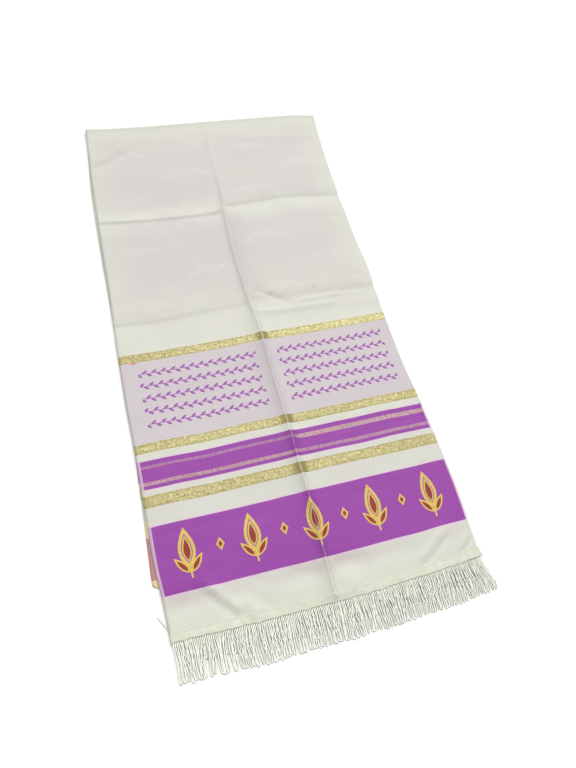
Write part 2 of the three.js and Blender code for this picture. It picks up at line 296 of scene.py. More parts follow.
def crease_section(distance, width):
    """Section through a crease of height 1: a narrow core of that width with a broad skirt."""
    rounded = math.hypot(distance, CREASE_TIP) - CREASE_TIP
    core = math.exp(-rounded / width)
    return CORE_SHARE * core + (1 - CORE_SHARE) * math.exp(-rounded / CREASE_SKIRT)


def wrinkle_rise(wrinkle, x, v):
    dx = wrinkle.x1 - wrinkle.x0
    dv = wrinkle.v1 - wrinkle.v0
    long = math.hypot(dx, dv)
    across = ((x - wrinkle.x0) * dv - (v - wrinkle.v0) * dx) / long
    if abs(across) > 3 * wrinkle.width:
        return 0.0
    along = ((x - wrinkle.x0) * dx + (v - wrinkle.v0) * dv) / long**2
    ends = smooth_step(along * 4 + 0.5) * smooth_step((1 - along) * 4 + 0.5)
    return wrinkle.height * ends * math.exp(-((across / wrinkle.width) ** 2))


def crease_rise(x, v):
    from_middle = x - middle_x(v)
    width = middle_left(v) if from_middle < 0 else middle_right(v)
    rise = middle_height(v) * crease_section(from_middle, width)
    for crease, line, section in zip(CROSS_CREASES, CREASE_LINES, CREASE_SECTIONS):
        past = v - line(x)
        height = section(past)
        if height:
            on_side = smooth_step(crease.side * from_middle / CREASE_CROSSING + 0.3)
            uneven = 1 + 0.3 * waver(x / 55, crease.line[0][1] / 100, 0)
            rise += height * uneven * on_side
    return rise


def ripple(x, v):
    """The cloth's small unevenness."""
    broad = waver(x / 85, v / 60, 1.7)
    small = waver(x / 30, v / 24, 5.3)
    fine = waver(x / 12, v / 10, 8.9)
    return 0.7 * broad + 0.28 * small + 0.05 * fine


def upper_face_z(x, v):
    """Height of the upper half's face over the surface."""
    to_selvedge = min(x - left_selvedge(v), right_selvedge(v) - x)
    to_edge = max(min(to_selvedge, v - hem_v(x)), 0.0)
    inside = 1 - math.exp(-to_edge / EDGE_FADE)
    rise = PANEL_RISE * (EDGE_RISE_SHARE + (1 - EDGE_RISE_SHARE) * inside)
    rise += crease_rise(x, v) + ripple(x, v) * (0.35 + 0.65 * inside)
    for wrinkle in WRINKLES:
        rise += wrinkle_rise(wrinkle, x, v)
    resting = (rise + math.hypot(rise, 0.5)) / 2
    near_fold = math.exp(-max(fold_top_v(x) - FOLD_RADIUS - v, 0.0) / FOLD_RISE_REACH)
    underside = (UPPER_REST + resting) * (1 - near_fold) + 2 * FOLD_RADIUS * near_fold
    return underside + SHEET_RISE + (WALL / 2 - SHEET_RISE) * near_fold


def place_on_upper(across, woven):
    """Place x, v of a point of the upper half, from -1 to 1 across it and its woven distance."""
    near = HALF_WIDTH * across
    climb = SKEW * (across + 0.25 * smooth_step((-across - 0.5) * 2))
    straight = woven + climb * (1 - math.exp(-woven / SKEW_REACH))
    to_hem = hem_v(near) * smooth_step(1 - woven / HEM_REACH)
    fold_v = fold_top_v(near) - FOLD_RADIUS
    to_fold = (fold_v - UPPER_WOVEN - climb) * smooth_step(1 - (UPPER_WOVEN - woven) / FOLD_REACH)
    v = straight + to_hem + to_fold
    left = left_selvedge(v)
    return left + (across + 1) / 2 * (right_selvedge(v) - left), v


def place_on_under(across, share):
    """Place x, v of a point of the under half, at a share of its length from the fold to its hem."""
    near = HALF_WIDTH * across
    fold_v = fold_top_v(near) - FOLD_RADIUS
    v = fold_v + (hem_v(near) + UNDER_SETBACK - fold_v) * share
    inset = 4 * smooth_step((fold_v - v) / 60)
    left = left_selvedge(v)
    left += (under_left(v) - left) * smooth_step((fold_v - v) / 30)
    right = right_selvedge(v) - inset
    x = left + (across + 1) / 2 * (right - left)
    return x - tab_reach(v) * math.exp(-((x - left) / 9) ** 2), v


def to_frame(x, v, z):
    """Place in the frame, in metres, of a point of the laid shawl in millimetres."""
    return Vector((x, v - MIDDLE_V, z)) * MM


def stations(start, end, wide, close, crowded, reach):
    """Places from start to end, close together round the crowded spans."""
    places = [start]
    while places[-1] < end:
        here = places[-1] + close / 2
        nearest = min(max(low - here, here - high, 0) for low, high in crowded)
        places.append(min(places[-1] + close + (wide - close) * smooth_step(nearest / reach), end))
    if places[-1] - places[-2] < close / 2:
        del places[-2]
    return places


def grid_into(bm, columns, rows, place, cloth_place):
    """Add a grid whose point at a column and row lies where place says.

    cloth_place gives the point's place in the pattern, kept in the mesh's UV map in metres.
    """
    uv = bm.loops.layers.uv.verify()
    made = bmesh.ops.create_grid(bm, x_segments=columns, y_segments=rows, size=0.5)["verts"]
    spots = {
        vert: (round((vert.co.x + 0.5) * columns), round((vert.co.y + 0.5) * rows)) for vert in made
    }
    for face in {face for vert in made for face in vert.link_faces}:
        for loop in face.loops:
            loop[uv].uv = Vector(cloth_place(*spots[loop.vert])) * MM
    for vert, spot in spots.items():
        vert.co = place(*spot)
    return made


def finish_piece(name, bm, materials, smooth=True):
    mesh = bpy.data.meshes.new(name)
    bm.to_mesh(mesh)
    bm.free()
    for polygon in mesh.polygons:
        polygon.use_smooth = smooth
    piece = bpy.data.objects.new(name, mesh)
    bpy.context.scene.collection.objects.link(piece)
    for material in materials:
        mesh.materials.append(material)
    return piece


def arithmetic(operation, swapped=False):
    """A method of Wire that adds one Math node."""

    def method(self, *others):
        values = (*others, self) if swapped else (self, *others)
        return self.look.node("ShaderNodeMath", {"operation": operation}, dict(enumerate(values)))

    return method


class Wire:
    """A value in a material. Arithmetic on wires adds their Math nodes."""

    def __init__(self, look, socket):
        self.look = look
        self.socket = socket

    __add__ = __radd__ = arithmetic("ADD")
    __sub__ = arithmetic("SUBTRACT")
    __rsub__ = arithmetic("SUBTRACT", swapped=True)
    __mul__ = arithmetic("MULTIPLY")
    __truediv__ = arithmetic("DIVIDE")
    __mod__ = arithmetic("FLOORED_MODULO")
    __pow__ = arithmetic("POWER")
    __abs__ = arithmetic("ABSOLUTE")
    sin = arithmetic("SINE")
    floor = arithmetic("FLOOR")
    least = arithmetic("MINIMUM")
    most = arithmetic("MAXIMUM")

    def neighbour(self, output):
        """Another output of the same node."""
        return Wire(self.look, self.socket.node.outputs[output])

    def clamp(self):
        return self.least(1.0).most(0.0)

    def inside(self, softness):
        """1 where the value is above 0, with a soft edge of that width."""
        return (self / softness + 0.5).clamp()


class Look:
    """A material and its node tree."""

    def __init__(self, name):
        self.material = bpy.data.materials.new(name)
        self.material.use_nodes = True
        self.tree = self.material.node_tree
        self.tree.nodes.clear()

    def node(self, kind, settings=None, inputs=None, output=0):
        node = self.tree.nodes.new(kind)
        for key, value in (settings or {}).items():
            setattr(node, key, value)
        for key, value in (inputs or {}).items():
            if isinstance(value, Wire):
                self.tree.links.new(value.socket, node.inputs[key])
            else:
                node.inputs[key].default_value = value
        return Wire(self, node.outputs[output]) if node.outputs else None

    def mix(self, share, first, second):
        """A colour between two, each a colour or a wire."""
        wide = [value if isinstance(value, Wire) else (*value, 1.0) for value in (first, second)]
        inputs = {0: share, 6: wide[0], 7: wide[1]}
        return self.node("ShaderNodeMix", {"data_type": "RGBA"}, inputs, output=2)

    def over(self, colour, *layers):
        """The colour under layers, each a share and a colour."""
        for share, layer in layers:
            colour = self.mix(share, colour, layer)
        return colour

    def cloth_place(self):
        """Distances in millimetres from the left selvedge and from the upper hem, as woven."""
        coordinates = self.node("ShaderNodeTexCoord", output="UV")
        u = self.node("ShaderNodeSeparateXYZ", inputs={0: coordinates})
        return u * 1000.0, u.neighbour(1) * 1000.0

    def point(self, x, y):
        return self.node("ShaderNodeCombineXYZ", inputs={0: x, 1: y})

    def noise(self, point, scale, detail=2.0, roughness=0.5):
        inputs = {"Vector": point, "Scale": scale, "Detail": detail, "Roughness": roughness}
        return self.node("ShaderNodeTexNoise", None, inputs)

    def grains(self, point):
        """A random value for each small patch, about 1 across."""
        inputs = {"Vector": point, "Scale": 1.0}
        patches = self.node("ShaderNodeTexVoronoi", None, inputs, output="Color")
        return self.node("ShaderNodeSeparateColor", None, {0: patches})

    def finish(self, colour, roughness, height=None, depth=0.0, metallic=0.0, sheen=0.0, gloss=0.5):
        inputs = {"Base Color": colour, "Roughness": roughness, "Metallic": metallic}
        inputs["Specular IOR Level"] = gloss
        inputs["Sheen Weight"] = sheen
        inputs["Sheen Roughness"] = 0.4
        if height is not None:
            bumps = {"Height": height, "Distance": depth, "Strength": 1.0}
            inputs["Normal"] = self.node("ShaderNodeBump", None, bumps)
        shader = self.node("ShaderNodeBsdfPrincipled", None, inputs)
        self.node("ShaderNodeOutputMaterial", None, {"Surface": shader})
        return self.material


def length_property(name, description, default):
    return bpy.props.FloatProperty(name=name, description=description, default=default, unit="LENGTH")


def count_property(name, description, default):
    return bpy.props.IntProperty(name=name, description=description, default=default, min=2)


class ShawlSizes(bpy.types.PropertyGroup):
    """Sizes that a user may change."""

    cloth_width: length_property("Cloth width", "From selvedge to selvedge", 0.46)
    cloth_length: length_property("Cloth length", "Of the whole cloth as woven, from hem to hem", 1.83)
    sheet_thickness: length_property("Sheet thickness", "Of the woven satin", 0.0005)
    heading_depth: length_property("Heading depth", "Of the fringe's woven heading", 0.0112)
    fringe_length: length_property("Fringe length", "Of the loops below the heading", 0.051)
    yarn_thickness: length_property("Yarn thickness", "Of the fringe's twisted yarn", 0.0017)
    upper_loops: count_property("Upper loops", "Loops in the upper end's fringe", 98)
    under_loops: count_property("Under loops", "Loops in the under end's fringe", 84)


def colour_property(name, description, *levels):
    settings = {"subtype": "COLOR", "size": 3, "min": 0, "max": 1, "default": srgb(*levels)}
    return bpy.props.FloatVectorProperty(name=name, description=description, **settings)


class ShawlColours(bpy.types.PropertyGroup):
    """Colours that a user may change."""

    ivory: colour_property("Ivory", "Ground of the cloth", 213, 215, 201)
    pearl: colour_property("Pearl", "Cooler tone of the ground", 203, 198, 194)
    lilac: colour_property("Lilac", "Pale panel between two gold bands", 203, 195, 197)
    purple: colour_property("Purple", "The purple bands", 156, 71, 168)
    edge_pink: colour_property("Edge pink", "Fine line along a purple band", 222, 196, 212)
    gold: colour_property("Gold", "Metallic yarn of the gold bands", 216, 208, 153)
    dark_gold: colour_property("Dark gold", "Gaps in the metallic yarn", 160, 145, 92)
    rose_gold: colour_property("Rose gold", "Thin lines in the stripe band", 210, 175, 171)
    leaf_gold: colour_property("Leaf gold", "Brocaded leaves", 226, 196, 96)
    leaf_red: colour_property("Leaf red", "Hearts of the brocaded leaves", 146, 54, 44)
    float_gold: colour_property("Float gold", "Gold floats on the reverse", 246, 226, 168)
    float_pink: colour_property("Float pink", "Red floats on the reverse", 204, 152, 144)
    yarn: colour_property("Yarn", "Fringe and its heading", 242, 243, 230)
    floor: colour_property("Floor", "The pale surface", 246, 246, 245)


def sizes():
    return bpy.context.scene.shawl_sizes


def colours():
    return bpy.context.scene.shawl_colours


def shade(tone, share):
    """A colour darkened to that share, or lightened above 1."""
    return tuple(Vector(tone) * share)


def swing(place, length):
    """A sine wave of that length in millimetres."""
    return (place * (2 * math.pi / length)).sin()


def from_nearest_hem(w):
    return w.least(sizes().cloth_length * 1000 - w)


def band(place, limits, softness=0.35):
    """1 between two distances from the hem."""
    low, high = limits
    return (place - low).inside(softness) * (high - place).inside(softness)


def any_of(masks):
    total = masks[0]
    for mask in masks[1:]:
        total = total.most(mask)
    return total


def leaf_shape(x, y, half_width, half_length, softness=0.3):
    """A leaf pointed at both ends, upright round the origin of x and y, fuller below its middle."""
    up = y / half_length
    fuller = (1.0 - up * 0.28).most(0.3)
    reach = (1.0 - up * up) * fuller * half_width
    return (reach - abs(x)).inside(softness)


def turned(x, y, degrees):
    cosine = math.cos(math.radians(degrees))
    sine = math.sin(math.radians(degrees))
    return x * cosine + y * sine, y * cosine - x * sine


SPRIG_SPACING = 92
SPRIG_MIDDLE_P = 95
FIRST_SPRIG = 46


def brocade_masks(u, p):
    """Gold and red masks of the brocaded sprigs in the wide purple band."""
    x = (u - FIRST_SPRIG + SPRIG_SPACING / 2) % SPRIG_SPACING - SPRIG_SPACING / 2
    y = p - SPRIG_MIDDLE_P
    gold = leaf_shape(x, y - 6.0, 11.5, 29.0)
    gap = leaf_shape(x, y - 5.0, 7.4, 21.0)
    heart_gold = leaf_shape(x, y - 4.6, 6.2, 18.8)
    red = leaf_shape(x, y - 3.6, 4.4, 15.0)
    side = abs(x)
    lean_x, lean_y = turned(side - 10.5, y + 17.0, -38.0)
    side_gold = leaf_shape(lean_x, lean_y, 5.0, 15.0)
    side_red = leaf_shape(lean_x, lean_y + 1.0, 2.9, 10.5)
    stem = (1.3 - side).inside(0.3) * (y + 36.0).inside(0.3) * (-18.0 - y).inside(0.3)
    between = SPRIG_SPACING / 2 - side
    lozenge = (1.0 - (between / 6.0 + abs(y) / 9.5)).inside(0.08)
    lozenge_red = (1.0 - (between / 3.0 + abs(y) / 4.8)).inside(0.12)
    inner = (u - 30.0).inside(1.0) * (430.0 - u).inside(1.0)
    gold_all = any_of([gold * (1.0 - gap), heart_gold, side_gold, stem, lozenge * inner])
    red_all = any_of([red, side_red, lozenge_red * inner])
    return gold_all, red_all


VINE_ROWS = 5
VINE_PITCH = 21.5
VINE_LOWEST_P = 294
VINE_BLOCKS = ((26, 216), (252, 442))
VINE_REPEAT = 15


def vine_mask(u, p):
    """Rows of a small leafy vine in two blocks on the lilac panel."""
    row = ((p - VINE_LOWEST_P) / VINE_PITCH + 0.5).floor()
    y = p - VINE_LOWEST_P - row * VINE_PITCH
    in_rows = (row + 0.5).inside(0.01) * (VINE_ROWS - 0.5 - row).inside(0.01)
    shifted = u + (row % 2.0) * (VINE_REPEAT / 2)
    stem = (0.7 - abs(y - swing(shifted, VINE_REPEAT) * 1.5)).inside(0.4)
    x = shifted % VINE_REPEAT
    # The last leaf of each repeat reaches into the next one
    sprouts = ((x - 6.2, y - 2.8, -52.0), (x - 13.0, y + 2.8, -128.0), (x + 2.0, y + 2.8, -128.0))
    leaves = any_of([leaf_shape(*turned(*sprout), 2.3, 5.3) for sprout in sprouts])
    blocks = any_of([(u - low).inside(0.5) * (high - u).inside(0.5) for low, high in VINE_BLOCKS])
    return stem.most(leaves) * in_rows * blocks


DAMASK_ACROSS = 118
DAMASK_ALONG = 112
DAMASK_SCALE = 1.55


def damask_mask(u, w):
    """Tone-on-tone sprays over the plain ground in a half drop: a flower between two leafy arms."""
    column = (u / DAMASK_ACROSS).floor()
    x = (u % DAMASK_ACROSS - DAMASK_ACROSS / 2) / DAMASK_SCALE
    y = (w + (column % 2.0) * (DAMASK_ALONG / 2)) % DAMASK_ALONG - DAMASK_ALONG / 2
    y = y / DAMASK_SCALE
    side = abs(x)
    petal = turned(side - 3.4, abs(y) - 3.4, -45.0)
    inner_leaf = turned(side - 12.5, y - 1.5, -74.0)
    outer_leaf = turned(side - 22.5, y + 3.5, -112.0)
    shapes = ((petal, 3.1, 5.2), (inner_leaf, 3.4, 7.0), (outer_leaf, 3.0, 7.0))
    return any_of([leaf_shape(*at, width, length, 2.0) for at, width, length in shapes])


def close_to(value, middle, reach):
    """1 at the middle, falling evenly to 0 at that reach."""
    return (1.0 - abs(value - middle) / reach).most(0.0)


def ellipse(x, y, half_width, half_length):
    """1 at an ellipse's middle, 0 at its edge and less past it."""
    return 1.0 - (x / half_width) ** 2.0 - (y / half_length) ** 2.0


def gold_mask(p):
    return any_of([band(p, limits) for limits in GOLD_BANDS])


Bands = namedtuple("Bands", "motif purple lines line_share golds lilac edge_lines beside_purple")


def band_masks(u, p):
    """Masks of the woven bands, at places across the cloth and from the nearest hem."""
    # The upper thin line grows wider and brighter to the right of the lengthwise crease
    right_half = (u - 240.0).inside(8.0)
    low_line = band(p, STRIPE_LINES[0], 0.5)
    from_p, to_p = STRIPE_LINES[1]
    high_line = band(p, (from_p - right_half * 2.8, to_p - right_half * 0.1), 0.5)
    motif = band(p, MOTIF_BAND)
    edges = [(edge, 0.9) for edge in MOTIF_BAND] + [(edge, 0.7) for edge in STRIPE_BAND]
    return Bands(
        motif=motif,
        purple=motif.most(band(p, STRIPE_BAND)),
        lines=low_line.most(high_line),
        line_share=low_line * (0.75 - right_half * 0.16) + high_line * (0.42 + right_half * 0.44),
        golds=gold_mask(p),
        lilac=band(p, LILAC_PANEL),
        edge_lines=any_of([(width - abs(p - edge)).inside(0.4) for edge, width in edges]),
        beside_purple=any_of(
            [band(p, (low - 2.6, high + 2.6), 2.6) for low, high in (MOTIF_BAND, STRIPE_BAND)]
        ),
    )


# The lengthwise crease's crest in the pattern: its place at the hem, how much further to the right it
# is for each millimetre along, and how far along that goes on. It is sharp up to CREASED_TO.
CREST_AT_HEM = 228.2
CREST_DRIFT = 0.0165
CREST_DRIFTS_TO = 300.0
CREASED_TO = 470.0
Crest = namedtuple("Crest", "rubbed tucked flanks worn")


def crest_masks(look, place, u, w, cloudy):
    """Painted light and shade along the lengthwise crease: a painted highlight on its crest, thin lines
    of painted shade beside it, painted shade on its flanks, and a broad strip of painted shade.
    """
    wander = look.noise(look.point(u * 0.1, w), 0.03, 2.0) - 0.5
    off = u - w.least(CREST_DRIFTS_TO) * CREST_DRIFT - CREST_AT_HEM + wander * 4.0
    patchy = 0.6 + cloudy * 0.8
    creased = (CREASED_TO - w).inside(20.0) * patchy
    highlight_patches = (look.noise(place, 0.07, 2.0) * 3.0 - 0.8).clamp()
    return Crest(
        rubbed=close_to(off, 0.4, 1.3) * creased * highlight_patches,
        tucked=close_to(off, 2.8, 1.7).most(close_to(off, -1.9, 1.5) * 0.6) * creased,
        flanks=close_to(off, 6.0, 6.5).most(close_to(off, -4.5, 7.0) * 0.6) * creased,
        worn=close_to(u, 223.0, 24.0) * (CREASED_TO - w).inside(60.0) * patchy,
    )


def metallic_yarn(look, tint, place, u, w, p, flanks):
    """Colour and glitter of the gold bands: bright and dull grains in uneven patches, with dotted picks
    at a band's edges; painted shade on the crease's flanks, and painted light on the right of the band
    farthest from the hem."""
    grain = look.grains(look.point(u * 0.62, w * 0.8))
    patches = look.noise(place, 0.22, 2.0)
    # Painted light: the band farthest from the hem is darker towards the left and lighter towards the
    # right
    painted_light_by_side = (p - 340.0).inside(10.0) * (u * 0.0006 - 0.1)
    glitter = (grain * 0.75 + patches * 1.3 + painted_light_by_side - 0.57 - flanks * 0.8).clamp()
    dots = (swing(u, 2.6) + patches * 3.0 - 1.5).inside(0.8)
    edge_picks = any_of(
        [(0.8 - abs(abs(p - (a + b) / 2) - (b - a) / 2 + 1.5)).inside(0.5) for a, b in GOLD_BANDS]
    )
    yarn = look.mix(glitter, tint.dark_gold, tint.gold)
    dark_picks_and_shade = shade(tint.dark_gold, 0.6)
    return look.over(yarn, (edge_picks * dots * 0.6, dark_picks_and_shade), (flanks * 0.5, dark_picks_and_shade)), glitter


def painted_sheen_mask(look, place, u, w, p, cloudy):
    """Painted sheen: where the ground is painted in the warmer, brighter ivory rather than the cooler
    pearl, as satin catching the light by the creases, the edges and the bands.
    """
    shift = look.noise(place, 0.012, 2.0) - 0.5
    across = u + shift * 50.0
    along = w + shift * 70.0
    left_part = (225.0 - u).inside(30.0)
    painted_sheen = any_of(
        [
            ((along - 835) / 75.0).clamp() * 0.75,
            close_to(along, 696, 32.0) * left_part * 0.7,
            close_to(along, 682, 30.0) * (1.0 - left_part) * 0.8,
            ((545 - along) / 130.0).clamp() * 0.95,
            ((60.0 - across) / 80.0).clamp() * 0.8,
            ((across - 390.0) / 70.0).clamp() * 0.65,
            (1.0 - left_part) * 0.12,
        ]
    )
    lower = ((250.0 - p) / 40.0).clamp()
    near_hem = ((30.0 - p) / 12.0).clamp() * (1.0 - ((u - 320.0) / 90.0).clamp() * 0.5)
    return (painted_sheen - lower * 0.4 + near_hem * 0.45 + (cloudy - 0.5) * 0.5).clamp()


def small_marks(u, w, p):
    """A slub, a snag, and a warm yellowish streak in a fainter warm patch, as layers over the cloth's
    colour.
    """
    warm_streak = ellipse(*turned(u - 404.0, w - 477.0, 28.0), 14.0, 5.0).clamp()
    warm_patch = ellipse(u - 410.0, w - 495.0, 34.0, 36.0).clamp()
    return (
        (ellipse(u - 22.0, p - 401.0, 5.0, 2.2).inside(0.5) * 0.7, srgb(214, 120, 84)),
        (ellipse(u - 347.0, w - 491.0, 3.4, 1.9).clamp() * 0.4, srgb(120, 112, 98)),
        (warm_streak.most(warm_patch * 0.25) * 0.26, srgb(200, 184, 128)),
    )


def satin_face():
    """The cloth's right side: ivory satin with all its bands."""
    tint = colours()
    look = Look("satin_face")
    u, w = look.cloth_place()
    place = look.point(u, w)
    sway = look.noise(place, 0.014, 1.0) - 0.5
    p = from_nearest_hem(w) + sway * 2.6

    # Yarn: fine lengthwise satin streaks, and unevenness of the weft from pick to pick
    streaks = look.noise(look.point(u, w * 0.04), 1.1, 3.0)
    picks = look.noise(look.point(u * 0.02, w), 0.55, 3.0)
    cloudy = look.noise(place, 0.014, 3.0)
    threads = swing(u, 0.45) * swing(w, 0.6)

    bands = band_masks(u, p)
    crest = crest_masks(look, place, u, w, cloudy)
    gold_yarn, glitter = metallic_yarn(look, tint, place, u, w, p, crest.flanks)
    mark = look.grains(look.point(u * 0.75, w * 0.3))
    leaves, hearts = [mask * bands.motif for mask in brocade_masks(u, p)]
    vine = vine_mask(u, p) * bands.lilac
    damask = damask_mask(u, w) * (p - PLAIN_FROM).inside(1.0)
    right_edge = 2 * HALF_WIDTH - SELVEDGE_WIDTH / 2
    selvedge = (SELVEDGE_WIDTH - u).inside(0.5).most((u - right_edge).inside(0.5))
    # Painted shade on the panel right of the lengthwise crease, between the two cross creases
    painted_shade_right = close_to(u, 226.0, 46.0) * (u - 218.0).inside(4.0) * band(w, (486, 690), 60.0)
    # Painted shade, tinted pink by light off the purple, in a strip on the hem's side of the wide purple
    # band
    painted_band_shade = close_to(u, 35.0, 70.0).most(close_to(u, 245.0, 100.0)).most(0.15) * close_to(p, 37.0, 13.0)

    pale_lilac = look.mix((cloudy * 1.5 - 0.25).clamp(), shade(tint.lilac, 0.95), tint.lilac)
    purple_yarn = look.mix((picks * 1.8 - 0.4).clamp(), shade(tint.purple, 0.8), tint.purple)
    # Painted shade darkens the purple on the crease's flanks
    purple_yarn = look.mix(crest.flanks * 0.35, purple_yarn, shade(tint.purple, 0.62))
    line_yarn = look.mix(mark, shade(tint.rose_gold, 0.55), tint.rose_gold)
    leaf_yarn = look.mix((picks * 1.4 - 0.3).clamp(), shade(tint.leaf_gold, 0.82), tint.leaf_gold)
    colour = look.over(
        # The ground carries a painted sheen: brighter, warmer ivory where the satin would catch the
        # light
        look.mix(painted_sheen_mask(look, place, u, w, p, cloudy), tint.pearl, tint.ivory),
        # Painted shade right of the crease, and painted shade tinted by light off the purple beside the
        # wide band
        (painted_shade_right * 0.5, shade(tint.pearl, 0.84)),
        (painted_band_shade * 0.45, srgb(190, 172, 172)),
        (damask * 0.4, shade(tint.pearl, 1.1)),
        (bands.lilac, pale_lilac),
        (bands.beside_purple * 0.3, tint.edge_pink),
        (bands.purple, purple_yarn),
        (vine * 0.9, shade(tint.purple, 0.96)),
        (bands.golds, gold_yarn),
        (bands.line_share, line_yarn),
        (bands.edge_lines * 0.75, tint.edge_pink),
        (leaves, leaf_yarn),
        (hearts, tint.leaf_red),
        (selvedge * bands.purple * 0.75, tint.edge_pink),
        *small_marks(u, w, p),
        # Painted light and shade of the lengthwise crease: a broad darker strip, thin dark lines beside
        # the crest, and a pale highlight on it
        (crest.worn * 0.07, srgb(96, 84, 84)),
        (crest.tucked * 0.18, srgb(110, 96, 104)),
        (crest.rubbed * (0.4 - bands.purple * 0.18), srgb(228, 220, 221)),
    )
    metal = (bands.golds * (0.05 + glitter * 0.15)).most(bands.lines * 0.1)
    shine = 0.56 + (streaks - 0.5) * 0.12 - damask * 0.05
    shine = shine + (0.55 - glitter * 0.2 - shine) * bands.golds
    relief = threads * 0.16 + streaks * 0.5 + picks * 0.5
    relief = relief + bands.golds * glitter * 1.6 + leaves * 1.2 + bands.lines * mark
    return look.finish(colour, shine, relief, 0.00012, metal, sheen=0.05, gloss=0.3)


FLOAT_ROWS = table("low high kind", (38, 53, "gold"), (53, 112, "red"), (112, 136, "gold"))


def satin_back():
    """The cloth's reverse: duller, with the brocade's floats across the whole width."""
    tint = colours()
    look = Look("satin_back")
    u, w = look.cloth_place()
    p = from_nearest_hem(w)
    picks = look.noise(look.point(u * 0.03, w), 0.9, 3.0)
    grain = look.noise(look.point(u, w), 0.9, 3.0)
    colour = look.over(
        look.mix(picks * 0.5, tint.ivory, shade(tint.ivory, 0.82)),
        (band(p, STRIPE_BAND) * 0.7, shade(tint.purple, 0.8)),
        (gold_mask(p) * 0.8, look.mix(grain, tint.dark_gold, tint.gold)),
    )
    for row in FLOAT_ROWS:
        yarn = tint.float_gold if row.kind == "gold" else tint.float_pink
        shaded = look.mix(picks, shade(yarn, 0.75), yarn)
        colour = look.mix(band(p, (row.low, row.high), 0.8), colour, shaded)
    relief = picks + grain * 0.5
    return look.finish(colour, 0.66 + grain * 0.1, relief, 0.00015)


def heading_yarn():
    """The fringe's woven heading: fine cross ribs under a chained edge."""
    tint = colours()
    look = Look("heading_yarn")
    u, d = look.cloth_place()
    place = look.point(u, d)
    ribs = swing(u, 1.7) * 0.5 + 0.5
    uneven = look.noise(place, 0.12, 3.0)
    fuzz = look.noise(place, 1.6, 3.0, 0.7)
    blotch = look.noise(place, 0.06, 2.0)
    pale = [part * warmer for part, warmer in zip(tint.yarn, (0.97, 0.965, 0.89))]
    light = (uneven * 0.8 + blotch * 0.8 - 0.4 + ribs * 0.15 + fuzz * 0.3).clamp()
    colour = look.mix(light + d * 0.03, shade(pale, 0.65), shade(pale, 0.82))
    dashes = swing(u, STITCH_PITCH) * 0.5 + 0.5
    colour = look.mix(close_to(d, 1.2, 1.0) * (0.35 + dashes * 0.4), colour, shade(pale, 0.5))
    relief = ribs * 0.25 + fuzz * 0.6 + uneven * 1.5
    return look.finish(colour, 0.52 + fuzz * 0.12, relief, 0.0003, sheen=0.1)


YARN_TWIST = 2.3             # millimetres along the yarn for one turn of its plies
# Each yarn's UV is its number in metres and the share round it in millimetres, with a margin, by
# the distance along it. A loop's legs are about as long as YARN_LEG.
YARN_STEP = 1000.0
YARN_MARGIN = 1.0
YARN_GIRTH = YARN_STEP - 2 * YARN_MARGIN
YARN_LEG = 51.0


def fringe_yarn(tone):
    """Lustrous two-ply yarn: its plies show as slanting ridges. Painted shade darkens the yarns' sides,
    some legs that catch less light, the loops' ends, the ply grooves, and the whole yarn where tone is
    below 1.
    """
    tint = colours()
    look = Look("fringe_yarn")
    around, along = look.cloth_place()
    place = look.point(around, along)
    turns = around / YARN_STEP
    number = turns.floor()
    ply = ((along / YARN_TWIST * 2 + turns * 2 + number * 0.73) * math.pi).sin()
    ridge = 1.0 - ply * ply
    fuzz = look.noise(place, 1.1, 3.0, 0.7)
    leg = look.point(number, (along / YARN_LEG).floor())
    chance = look.node("ShaderNodeTexWhiteNoise", {"noise_dimensions": "2D"}, {"Vector": leg})
    # The yarns lie close, so that less light reaches their sides than their tops
    top = swing(around % YARN_STEP - YARN_MARGIN, YARN_GIRTH)
    # Painted shadow round each loop's end
    painted_shadow_at_end = close_to(along, YARN_LEG + 0.5, 4.0)
    light = (0.38 + top * 0.88 + (chance - 0.5) * 0.6 - ridge * 0.02 - painted_shadow_at_end * 0.3).clamp()
    colour = look.mix(light, shade(tint.yarn, tone * 0.54), shade(tint.yarn, tone * 1.16))
    relief = ply + fuzz * 0.35
    return look.finish(colour, 0.4 + fuzz * 0.15, relief, 0.00006, sheen=0.15)


def thread_look():
    tint = colours()
    look = Look("stitch_thread")
    spot = look.node("ShaderNodeTexCoord", output="Object")
    grain = look.noise(spot, 2500.0, 2.0)
    colour = look.mix(grain, shade(tint.yarn, 0.82), tint.yarn)
    return look.finish(colour, 0.5, grain, 0.00005)


def floor_look():
    tint = colours()
    look = Look("pale_floor")
    spot = look.node("ShaderNodeTexCoord", output="Object")
    grain = look.noise(spot, 3.0, 2.0)
    colour = look.mix(grain * 0.2, tint.floor, shade(tint.floor, 0.97))
    return look.finish(colour, 0.9)


CROWDED_ACROSS = ((-0.085, 0.03), (0.94, 1.0))
CROWDED_WOVEN = ((0, 1), (458, 490), (678, 704))
UNDER_CROWDED = ((53, 62),)


